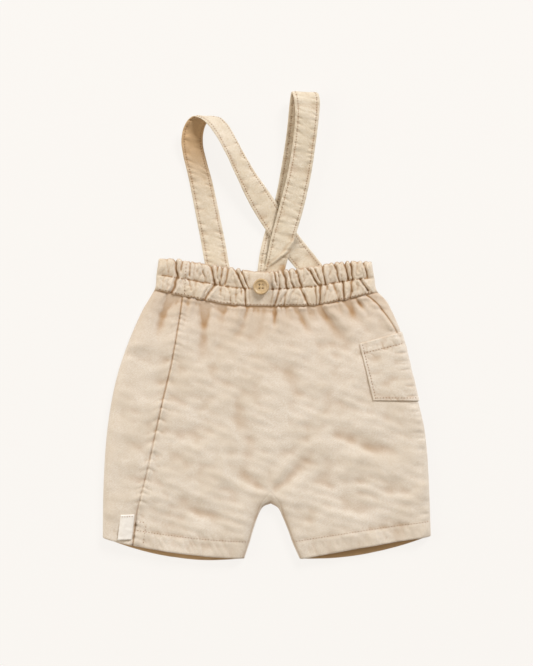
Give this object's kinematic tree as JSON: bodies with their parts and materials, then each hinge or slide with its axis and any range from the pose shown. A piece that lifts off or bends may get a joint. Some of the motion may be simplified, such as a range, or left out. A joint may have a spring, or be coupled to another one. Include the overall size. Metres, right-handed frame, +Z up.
{
  "type": "baby shorts with shoulder straps",
  "caption": "Baby's woven shorts laid flat face up, with a gathered elastic waistband, crossed sewn-on shoulder straps, a side patch pocket and a front button.",
  "frame": {"origin": "centre of the bounding box, on the surface that the garment lies on", "axes": "+Z up out of the front of the garment, +Y from the hems towards the straps, +X towards the side with the pocket"},
  "size_m": [0.28, 0.3987, 0.0181],
  "materials": {
    "twill": "washed cream cotton twill, fine diagonal weave with a slight nap",
    "label_tape": "off-white woven cotton tape, blank",
    "button": "tan moulded button with a satin face"
  },
  "bodies": {
    "root": {"front": "twill", "back": "twill", "waistband_front": "twill", "waistband_back": "twill", "strap_left": "twill", "strap_right": "twill", "pocket": "twill", "hem_label": "label_tape", "button": "button"}
  },
  "joints": []
}
